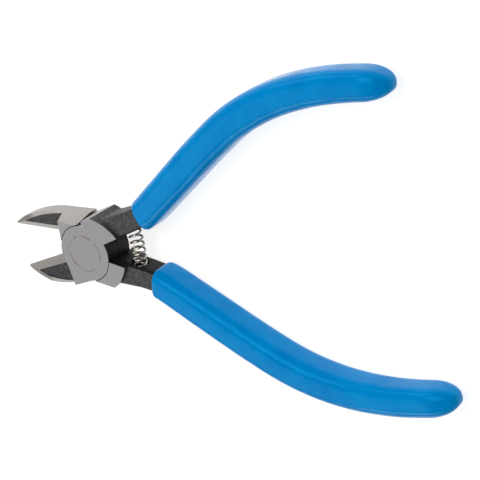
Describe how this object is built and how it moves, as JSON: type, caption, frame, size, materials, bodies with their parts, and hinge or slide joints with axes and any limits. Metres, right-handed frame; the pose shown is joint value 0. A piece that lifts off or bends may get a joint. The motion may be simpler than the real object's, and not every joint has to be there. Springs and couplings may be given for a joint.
{
  "type": "flush cutter",
  "caption": "Hand flush cutter with lapped forged halves on a flush rivet, a coil return spring between the tangs and dipped blue grips.",
  "frame": {"origin": "on the pivot axis, at the joint's lower face", "axes": "+X towards the handles, +Y towards the grip of the front half, +Z along the pivot axis towards the front face"},
  "size_m": [0.1229, 0.0832, 0.0098],
  "materials": {
    "forged_steel": "ground faces over black oxide",
    "rivet_steel": "ground flush",
    "spring_wire": "bright nickel",
    "blue_vinyl": "gloss"
  },
  "bodies": {
    "front": {"front_half": "forged_steel", "front_grip": "blue_vinyl", "pivot_rivet": "rivet_steel", "return_spring": "spring_wire"},
    "rear": {"rear_half": "forged_steel", "rear_grip": "blue_vinyl"}
  },
  "joints": [
    {"name": "pivot", "type": "hinge", "parent": "front", "child": "rear", "pos_m": [0, 0, 0], "axis": [0, 0, 1], "range_deg": [0, 23.6], "stiffness_Nm_per_rad": 0.1, "springref_deg": -14.32, "deforming": ["return_spring"]}
  ]
}
